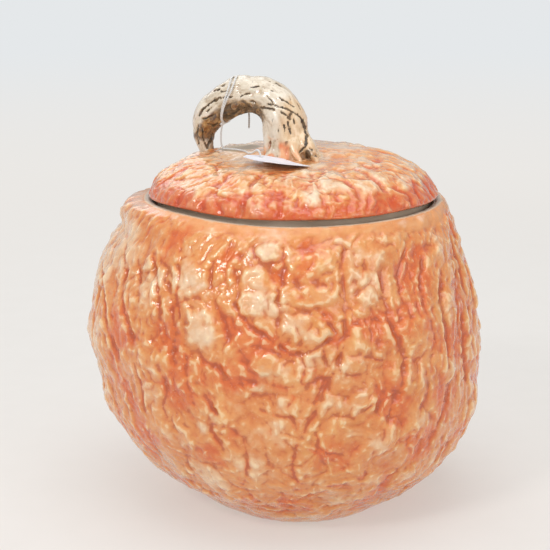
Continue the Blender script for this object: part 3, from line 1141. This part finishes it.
def bend_card(flat, side):
    """Points of one face: the far end curls up a little and one long side droops."""
    x, y = flat[:, 0], flat[:, 1]
    along, across = x / CARD_LENGTH, y / (CARD_WIDTH / 2)
    z = (1.1 * along ** 2 - 0.55 * np.sin(np.pi * along) + 0.30 * across ** 2
         - 0.75 * across * along - 1.45 * across + side * CARD_THICK / 2)
    return CARD_AT + x[:, None] * CARD_LONG + y[:, None] * CARD_SIDE + z[:, None] * CARD_UP


def make_card():
    count, rings, span = 288, 26, 40.0
    turn = angles(count)
    hole = np.stack([HOLE_X + HOLE_RADIUS * np.cos(turn), HOLE_RADIUS * np.sin(turn)], 1)
    outline = card_outline(turn)
    flat = [hole * (1 - t) + outline * t for t in np.linspace(0, 1, rings) ** 1.2]
    points = np.concatenate([bend_card(ring, side) for side in (1, -1) for ring in flat]) * MM
    j = np.arange(count)
    j1 = (j + 1) % count
    bottom = rings * count
    faces = Faces()
    for k in range(rings - 1):
        for start, u_shift in ((0, 0.0), (bottom, 0.5)):
            faces.add(*[(start + ring * count + column,
                         (flat[ring][column, 0] + 1) / span * 0.48 + u_shift,
                         (flat[ring][column, 1] + 16) / span * 0.9)
                        for ring, column in ((k, j), (k + 1, j), (k + 1, j1), (k, j1))],
                      flip=start > 0)
    # the card's edge, then the wall of the hole
    for start, v, flip in (((rings - 1) * count, 0.93, False), (0, 0.96, True)):
        low = bottom + start
        u0, u1 = j / count, (j + 1) / count
        faces.add((start + j, u0, v), (low + j, u0, v + 0.02), (low + j1, u1, v + 0.02),
                  (start + j1, u1, v), flip=flip)
    return build_mesh("ticket_card", points, faces.groups, uvs=faces.uvs)


# ------------------------------------------------------------------ materials
def srgb(*rgb):
    """Linear RGBA from sRGB 0..255."""
    parts = [value / 255.0 for value in rgb]
    return (*[c / 12.92 if c <= 0.04045 else ((c + 0.055) / 1.055) ** 2.4 for c in parts], 1.0)


class Mat:
    """Short helpers round one node tree.  Colours are sockets or sRGB (r, g, b)."""

    def __init__(self, name):
        self.material = bpy.data.materials.new(name)
        self.material.use_nodes = True
        self.tree = self.material.node_tree
        self.tree.nodes.clear()
        self.out = self.node("OutputMaterial")
        self.bsdf = self.node("BsdfPrincipled")
        self.link(self.bsdf.outputs[0], self.out.inputs[0])
        self.coord = self.node("TexCoord").outputs["Object"]

    def node(self, kind):
        return self.tree.nodes.new("ShaderNode" + kind)

    def link(self, source, target):
        self.tree.links.new(source, target)

    def put(self, node, key, value):
        if isinstance(value, bpy.types.NodeSocket):
            self.link(value, node.inputs[key])
        else:
            node.inputs[key].default_value = value

    def set(self, key, value):
        self.put(self.bsdf, key, value)

    def attr(self, name):
        attribute = self.node("Attribute")
        attribute.attribute_name = name
        split = self.node("SeparateColor")
        self.link(attribute.outputs["Color"], split.inputs[0])
        return split.outputs[0], split.outputs[1], split.outputs[2]

    def noise(self, scale, detail=3.0, rough=0.5, distortion=0.0, stretch=None):
        node = self.node("TexNoise")
        node.inputs["Scale"].default_value = scale
        node.inputs["Detail"].default_value = detail
        node.inputs["Roughness"].default_value = rough
        node.inputs["Distortion"].default_value = distortion
        vector = self.coord
        if stretch:
            mapping = self.node("Mapping")
            mapping.inputs["Scale"].default_value = stretch
            self.link(vector, mapping.inputs[0])
            vector = mapping.outputs[0]
        self.link(vector, node.inputs["Vector"])
        return node.outputs["Fac"]

    def voronoi(self, scale):
        node = self.node("TexVoronoi")
        node.inputs["Scale"].default_value = scale
        self.link(self.coord, node.inputs["Vector"])
        return node.outputs["Distance"]

    def math(self, operation, a, b=0.0):
        node = self.node("Math")
        node.operation = operation
        self.put(node, 0, a)
        self.put(node, 1, b)
        return node.outputs[0]

    def add(self, a, b):
        return self.math("ADD", a, b)

    def mul(self, a, b):
        return self.math("MULTIPLY", a, b)

    def less(self, mask, amount):
        """1 less a share of a mask."""
        return self.math("SUBTRACT", 1.0, self.mul(mask, amount))

    def swing(self, value, amount):
        """A 0..1 value as a swing about zero."""
        return self.mul(self.math("SUBTRACT", value, 0.5), amount)

    def vary(self, value, *swings):
        """Add swings, given as (value, amount)."""
        for source, amount in swings:
            value = self.add(value, self.swing(source, amount))
        return value

    def ramp(self, value, stops):
        """Colour ramp; a stop is (position, r, g, b)."""
        node = self.node("ValToRGB")
        elements = node.color_ramp.elements
        while len(elements) > 1:
            elements.remove(elements[-1])
        elements[0].position = stops[0][0]
        elements[0].color = srgb(*stops[0][1:])
        for position, *rgb in stops[1:]:
            elements.new(position).color = srgb(*rgb)
        self.put(node, 0, value)
        return node.outputs[0]

    def fade(self, value, start, end, low=0.0, high=1.0):
        """Eased from low at start to high at end."""
        node = self.node("MapRange")
        node.interpolation_type = "SMOOTHSTEP"
        for key, setting in enumerate((value, start, end, low, high)):
            self.put(node, key, setting)
        return node.outputs[0]

    def mix(self, factor, under, over):
        node = self.node("Mix")
        node.data_type = "RGBA"
        self.put(node, 0, factor)
        for key, colour in ((6, under), (7, over)):
            self.put(node, key, srgb(*colour) if isinstance(colour, tuple) else colour)
        return node.outputs[2]

    def layer(self, under, over, mask, amount):
        return self.mix(self.mul(mask, amount), under, over)

    def bump(self, height, strength, distance):
        node = self.node("Bump")
        node.inputs["Strength"].default_value = strength
        node.inputs["Distance"].default_value = distance
        self.put(node, "Height", height)
        return node.outputs[0]


ORANGE = [(0.0, 162, 76, 28), (0.18, 194, 100, 42), (0.36, 212, 121, 60), (0.52, 222, 139, 76),
          (0.68, 229, 158, 94), (0.84, 236, 184, 122), (1.0, 244, 214, 168)]
PALE = [(0.0, 190, 124, 80), (0.3, 216, 160, 114), (0.55, 231, 192, 152), (0.8, 239, 212, 182),
        (1.0, 244, 226, 206)]
RED = [(0.0, 166, 58, 20), (0.3, 204, 86, 34), (0.55, 221, 110, 50), (0.8, 231, 144, 78),
       (1.0, 242, 194, 140)]
VIVID = [(0.0, 160, 38, 10), (0.3, 202, 66, 22), (0.55, 208, 81, 31), (0.8, 221, 121, 63),
         (1.0, 237, 183, 132)]
# Glaze tuning: base is the middle of the colour ramp; clouds and mottle swing it;
# tone_clouds and tone_relief swing the red and pale breaks; crease and crest are
# the strengths of the fine lines.
JAR_TUNE = dict(base=0.55, clouds=0.44, mottle=0.16, tone_clouds=0.90, tone_relief=0.26,
                crease=0.36, crest=0.46)
LID_TUNE = dict(base=0.64, clouds=0.62, mottle=0.26, tone_clouds=1.25, tone_relief=0.44,
                crease=0.50, crest=0.50)


def speckle(mat, col, fine, medium):
    """Dark creases, bright breaks, flecks, and ochre and greyish patches."""
    col = mat.layer(col, (142, 70, 38), mat.fade(fine, start=0.12, end=0.0), amount=0.26)
    bright = mat.mul(
        mat.fade(mat.noise(scale=115, rough=0.6, distortion=0.5), start=0.60, end=0.72),
        mat.fade(mat.noise(scale=28, detail=2), start=0.40, end=0.62))
    col = mat.layer(col, (224, 100, 34), bright, amount=0.50)
    fleck = mat.mul(mat.fade(mat.voronoi(scale=420), start=0.12, end=0.05),
                    mat.fade(mat.noise(scale=55, detail=2), start=0.56, end=0.66))
    col = mat.layer(col, (190, 84, 44), fleck, amount=0.6)
    light_fleck = mat.fade(mat.noise(scale=620, detail=2), start=0.64, end=0.74)
    col = mat.layer(col, (248, 222, 190), light_fleck, amount=0.20)
    ochre = mat.fade(mat.noise(scale=46, rough=0.6, distortion=0.8), start=0.58, end=0.70)
    col = mat.layer(col, (216, 150, 74), ochre, amount=0.22)
    grey = mat.mul(mat.fade(mat.noise(scale=34, detail=4, rough=0.62), start=0.58, end=0.72),
                   mat.fade(medium, start=0.35, end=0.7))
    return mat.layer(col, (214, 198, 168), grey, amount=0.35)


def line_inside(mat, col, lining):
    """The grey-buff inside, with a paler line where it begins."""
    inside = mat.ramp(mat.noise(scale=45),
                      [(0.3, 184, 168, 148), (0.5, 198, 182, 162), (0.7, 210, 196, 178)])
    edge = mat.mul(mat.fade(lining, start=0.02, end=0.4), mat.fade(lining, start=0.98, end=0.6))
    return mat.layer(mat.mix(lining, col, inside), (226, 196, 160), edge, amount=0.8)


def glaze(name, tune, lid):
    mat = Mat(name)
    fine, tone, band = mat.attr("surf")
    if lid:
        lining, edge_red, pool = mat.attr("zone")
        medium, wide, _ = mat.attr("cav")
    else:
        lining, bare, wide = mat.attr("zone")
        medium, furrow, _ = mat.attr("cav")
    clouds = mat.noise(scale=95, detail=4, rough=0.55)
    mottle = mat.noise(scale=330, rough=0.6)
    grit = mat.noise(scale=900, detail=2, rough=0.6)
    value = mat.vary(tune["base"], (fine, 0.12), (medium, 0.20), (wide, 0.16),
                     (clouds, tune["clouds"]), (mottle, tune["mottle"]))
    red = mat.ramp(value, RED)
    # glaze pools red in the hollows and breaks pale over the crests
    tone = mat.vary(
        tone, (mat.noise(scale=60, detail=4, rough=0.62, distortion=0.4), tune["tone_clouds"]),
        (wide, 0.30), (medium, tune["tone_relief"]))
    col = mat.layer(mat.ramp(value, ORANGE), mat.ramp(value, PALE),
                    mat.fade(tone, start=0.50, end=1.02), amount=0.80)
    col = mat.layer(col, red, mat.fade(tone, start=0.47, end=0.10), amount=0.95)
    if not lid:
        furrow = mat.vary(furrow, (mat.noise(scale=90, rough=0.6), 0.9))
        col = mat.layer(col, red, mat.fade(furrow, start=0.22, end=0.90), amount=0.80)
    # thin red lines in the creases, thin cream ones on the sharpest crests
    col = mat.layer(col, (196, 88, 46), mat.fade(fine, start=0.28, end=0.04), tune["crease"])
    col = mat.layer(col, (250, 222, 176), mat.fade(fine, start=0.80, end=0.97), tune["crest"])
    if lid:
        edge_red = mat.vary(edge_red, (mat.noise(scale=140, rough=0.6), 0.8), (medium, -0.50))
        col = mat.layer(col, mat.ramp(value, VIVID),
                        mat.fade(edge_red, start=0.22, end=0.92), amount=0.94)
        pool_col = mat.ramp(clouds,
                            [(0.3, 204, 176, 138), (0.55, 216, 192, 158), (0.75, 226, 204, 172)])
        col = mat.mix(mat.fade(pool, start=0.25, end=0.75), col, pool_col)
    else:
        apricot = mat.ramp(mat.noise(scale=70, rough=0.55, stretch=(1, 1, 2.2)),
                           [(0.25, 218, 138, 80), (0.5, 230, 160, 102), (0.75, 236, 180, 128)])
        apricot = mat.mix(mat.fade(tone, start=0.62, end=1.04), apricot, (252, 230, 216))
        col = mat.layer(col, apricot, band, amount=0.75)
    col = line_inside(mat, speckle(mat, col, fine, medium), lining)
    rough = mat.add(mat.mul(mat.noise(scale=70), 0.18), 0.16)
    height = mat.add(mat.mul(mottle, 0.7), mat.mul(grit, 0.25))
    if lid:
        rough = mat.add(rough, mat.mul(pool, 0.28))
        coat = mat.less(pool, 0.7)
        height = mat.mul(height, mat.less(pool, 0.9))
    else:
        clay = mat.ramp(mat.noise(scale=240, detail=5, rough=0.65),
                        [(0.3, 196, 160, 126), (0.55, 214, 182, 150), (0.75, 226, 200, 172)])
        col = mat.mix(bare, col, clay)
        rough = mat.math("MAXIMUM", rough, mat.mul(bare, 0.85))
        rough = mat.add(rough, mat.mul(band, 0.24))
        coat = mat.math("SUBTRACT", 1.0, mat.math("MAXIMUM", bare, mat.mul(band, 0.6)))
    height = mat.mul(height, mat.less(band, 0.5))
    height = mat.mul(height, mat.less(lining, 0.8))
    mat.set("Base Color", col)
    mat.set("Roughness", rough)
    mat.set("Specular IOR Level", 0.45)
    mat.set("Coat Weight", mat.mul(coat, 0.85))
    mat.set("Coat Roughness", 0.07)
    mat.set("Coat IOR", 1.45)
    # a faint lustre, as on mother-of-pearl glaze
    where = mat.fade(mat.noise(scale=22, detail=2, distortion=0.6), start=0.48, end=0.62)
    film = mat.add(mat.mul(mat.noise(scale=60, detail=2), 320.0), 260.0)
    mat.set("Thin Film Thickness", mat.mul(where, film))
    mat.set("Thin Film IOR", 1.42)
    mat.set("Normal", mat.bump(height, strength=0.55, distance=0.0010))
    return mat.material


def stem_glaze():
    mat = Mat("bone_glaze")
    tone, streak, pit = mat.attr("surf")
    stain, orange, warm_side = mat.attr("zone")
    clouds = mat.noise(scale=110, detail=4, rough=0.6)
    mottle = mat.noise(scale=420, rough=0.6)
    value = mat.add(tone, mat.add(mat.swing(clouds, 0.5), mat.swing(mottle, 0.25)))
    bone = mat.ramp(value, [(0.0, 142, 122, 98), (0.25, 188, 168, 142), (0.5, 220, 205, 182),
                            (0.75, 233, 220, 201), (1.0, 243, 234, 220)])
    warm = mat.ramp(value, [(0.0, 136, 90, 50), (0.3, 188, 142, 94), (0.55, 222, 184, 142),
                            (0.8, 234, 207, 170), (1.0, 243, 226, 198)])
    warm_side = mat.vary(warm_side, (mat.noise(scale=50), 0.7))
    col = mat.mix(mat.fade(warm_side, start=0.2, end=0.9), bone, warm)
    # brown stain below and inside the arch
    brown = mat.ramp(mat.noise(scale=190, detail=4, rough=0.70),
                     [(0.30, 38, 18, 5), (0.44, 84, 45, 14), (0.57, 150, 102, 40),
                      (0.73, 204, 166, 100)])
    stain = mat.vary(stain, (mat.noise(scale=150, rough=0.6), 0.8))
    col = mat.layer(col, brown, mat.fade(stain, start=0.28, end=0.8), amount=0.92)
    # dark iron stain in pits, ragged at the edges
    ragged = mat.vary(pit, (mat.noise(scale=520, rough=0.65), 0.7))
    dark = mat.ramp(mat.noise(scale=300, detail=2), [(0.35, 58, 44, 28), (0.6, 112, 88, 60)])
    col = mat.layer(col, (142, 104, 64), streak, amount=0.40)
    col = mat.layer(col, (176, 146, 104), mat.fade(ragged, start=0.02, end=0.30), amount=0.45)
    col = mat.mix(mat.fade(ragged, start=0.30, end=0.62), col, dark)
    speck = mat.mul(mat.fade(mat.noise(scale=760, detail=2), start=0.66, end=0.71),
                    mat.fade(mat.noise(scale=80, detail=2), start=0.5, end=0.62))
    col = mat.layer(col, (84, 68, 50), speck, amount=0.8)
    orange_col = mat.ramp(value, [(0.0, 192, 88, 46), (0.4, 230, 134, 86), (0.7, 244, 180, 132),
                                  (1.0, 250, 212, 172)])
    orange = mat.vary(orange, (mat.noise(scale=130, rough=0.6), 0.7))
    col = mat.layer(col, orange_col, mat.fade(orange, start=0.16, end=0.62), amount=0.9)
    mat.set("Base Color", col)
    mat.set("Roughness", mat.add(mat.mul(clouds, 0.2), mat.add(0.14, mat.mul(pit, 0.25))))
    mat.set("Coat Weight", mat.math("SUBTRACT", 0.75, mat.mul(pit, 0.5)))
    mat.set("Coat Roughness", 0.06)
    where = mat.fade(mat.noise(scale=35, detail=2), start=0.5, end=0.65)
    mat.set("Thin Film Thickness", mat.mul(where, 380.0))
    mat.set("Thin Film IOR", 1.4)
    height = mat.add(mat.mul(clouds, 0.5), mat.mul(mottle, 0.3))
    mat.set("Normal", mat.bump(height, strength=0.5, distance=0.0010))
    return mat.material


def cotton():
    mat = Mat("cotton")
    fibre = mat.noise(scale=2600, rough=0.7)
    patches = mat.noise(scale=420, detail=2)
    col = mat.ramp(fibre, [(0.3, 206, 203, 200), (0.55, 232, 230, 227), (0.75, 246, 245, 243)])
    col = mat.mix(mat.fade(patches, start=0.55, end=0.75, high=0.35), col, (214, 206, 196))
    mat.set("Base Color", col)
    mat.set("Roughness", 0.85)
    mat.set("Sheen Weight", 0.5)
    mat.set("Sheen Roughness", 0.5)
    mat.set("Normal", mat.bump(fibre, strength=0.7, distance=0.00025))
    return mat.material


def paper():
    mat = Mat("card_stock")
    fibre = mat.noise(scale=900, detail=5, rough=0.65, stretch=(1, 0.35, 1))
    cloud = mat.noise(scale=120)
    col = mat.ramp(cloud, [(0.3, 232, 231, 240), (0.7, 244, 243, 248)])
    col = mat.mix(mat.fade(fibre, start=0.62, end=0.74, high=0.25), col, (220, 218, 226))
    mat.set("Base Color", col)
    mat.set("Roughness", mat.add(mat.mul(cloud, 0.15), 0.42))
    mat.set("Specular IOR Level", 0.4)
    mat.set("Normal", mat.bump(fibre, strength=0.35, distance=0.0002))
    return mat.material


def floor_paper():
    """Paper that turns into an even glow away from the jar."""
    mat = Mat("floor_paper")
    split = mat.node("SeparateXYZ")
    mat.link(mat.coord, split.inputs[0])
    x, y = split.outputs[0], split.outputs[1]
    reach = mat.math("SQRT", mat.add(mat.mul(x, x), mat.mul(y, y)))
    mat.set("Base Color", mat.mix(mat.noise(scale=35), (232, 228, 222), (238, 234, 229)))
    mat.set("Roughness", 0.8)
    mat.set("Specular IOR Level", 0.1)
    glow = mat.node("Emission")
    mat.put(glow, 0, mat.mix(mat.fade(reach, start=0.8, end=3.2),
                             (235, 232, 228), (229, 232, 234)))
    blend = mat.node("MixShader")
    mat.put(blend, 0, mat.fade(reach, start=0.30, end=1.25, low=0.50, high=1.0))
    mat.link(mat.bsdf.outputs[0], blend.inputs[1])
    mat.link(glow.outputs[0], blend.inputs[2])
    mat.link(blend.outputs[0], mat.out.inputs[0])
    return mat.material


# ----------------------------------------------------- floor, light and camera
def make_floor():
    count = 96
    radii = [0.15, 0.3, 0.6, 1.2, 2.5, 5.0, 9.0]      # metres
    turn = angles(count)
    ring = np.stack([np.cos(turn), np.sin(turn), np.zeros(count)], 1)
    points = np.concatenate([[[0, 0, 0]], *[radius * ring for radius in radii]])
    j = np.arange(count)
    j1 = (j + 1) % count
    faces = [np.stack([0 * j, 1 + j, 1 + j1], 1)]
    for k in range(len(radii) - 1):
        a, b = 1 + k * count, 1 + (k + 1) * count
        faces.append(np.stack([a + j, b + j, b + j1, a + j1], 1))
    return build_mesh("floor", points, faces)


def make_world():
    world = bpy.data.worlds.new("studio")
    scene.world = world
    world.use_nodes = True
    nodes, links = world.node_tree.nodes, world.node_tree.links
    light = nodes["Background"]
    light.inputs[0].default_value = (0.95, 0.975, 1.0, 1.0)
    light.inputs[1].default_value = 0.58
    seen = nodes.new("ShaderNodeBackground")      # what the camera sees past the floor
    seen.inputs[0].default_value = srgb(229, 232, 234)
    path = nodes.new("ShaderNodeLightPath")
    either = nodes.new("ShaderNodeMixShader")
    links.new(path.outputs["Is Camera Ray"], either.inputs[0])
    links.new(light.outputs[0], either.inputs[1])
    links.new(seen.outputs[0], either.inputs[2])
    links.new(either.outputs[0], nodes["World Output"].inputs[0])


def aim(ob, target):
    ob.rotation_euler = (Vector(target) - ob.location).to_track_quat("-Z", "Y").to_euler()


def softbox(name, at, target_z, size, power, colour):
    """A square area light aimed at a point on the jar's axis; metres and watts."""
    light = bpy.data.lights.new(name, "AREA")
    light.shape = "RECTANGLE"
    light.size = light.size_y = size
    light.energy = power
    light.color = colour
    ob = bpy.data.objects.new(name, light)
    ob.location = at
    aim(ob, (0, 0, target_z))
    scene.collection.objects.link(ob)


VIEW_WIDTH = 0.35475                  # metres seen across at the target
VIEW_SHIFT = (-0.01161, 0.007095)     # metres at the target
VIEW_DISTANCE = 0.950
VIEW_ELEVATION = math.radians(14.5)


def make_camera():
    data = bpy.data.cameras.new("camera")
    ob = bpy.data.objects.new("camera", data)
    scene.collection.objects.link(ob)
    target = Vector((0, 0, 0.135))
    ob.location = target + Vector((0, -VIEW_DISTANCE * math.cos(VIEW_ELEVATION),
                                   VIEW_DISTANCE * math.sin(VIEW_ELEVATION)))
    aim(ob, target)
    data.sensor_width = 36.0
    data.lens = 36.0 * VIEW_DISTANCE / VIEW_WIDTH
    data.shift_x = VIEW_SHIFT[0] / VIEW_WIDTH
    data.shift_y = VIEW_SHIFT[1] / VIEW_WIDTH
    data.clip_start, data.clip_end = 0.02, 40.0
    scene.camera = ob


# ---------------------------------------------------------------- build it all
def hand_over(ob, material, rides, piece):
    ob.data.materials.append(material)
    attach(ob, rides)
    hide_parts(piece)


hand_over(make_jar(), glaze("orange_glaze_jar", JAR_TUNE, lid=False),
          "jar", "jar_body")
lid_shell, lid_surface = make_lid()
hand_over(lid_shell, glaze("orange_glaze_lid", LID_TUNE, lid=True),
          "lid_with_handle", "lid")
hand_over(make_stem(), stem_glaze(), "lid_with_handle", "stem_handle")
hand_over(make_string(lid_surface), cotton(), "string", "tag_string")
hand_over(make_card(), paper(), "ticket", "tag_card")

floor = make_floor()
floor.data.materials.append(floor_paper())
make_world()
softbox("key", at=(-0.95, -1.20, 1.25), target_z=0.12, size=0.38, power=9.6,
        colour=(1.0, 0.985, 0.985))
softbox("fill", at=(1.10, -1.25, 0.70), target_z=0.12, size=0.90, power=5.2,
        colour=(1.0, 0.985, 0.96))
softbox("top", at=(0.05, -0.20, 1.70), target_z=0.1, size=1.3, power=10.2,
        colour=(0.98, 0.99, 1.0))
softbox("back", at=(-0.60, 1.20, 1.10), target_z=0.15, size=0.9, power=3.2,
        colour=(0.97, 0.985, 1.0))
make_camera()
scene.view_settings.view_transform = "Standard"
scene.view_settings.look = "None"
scene.view_settings.exposure = 0.0

bpy.context.view_layer.update()
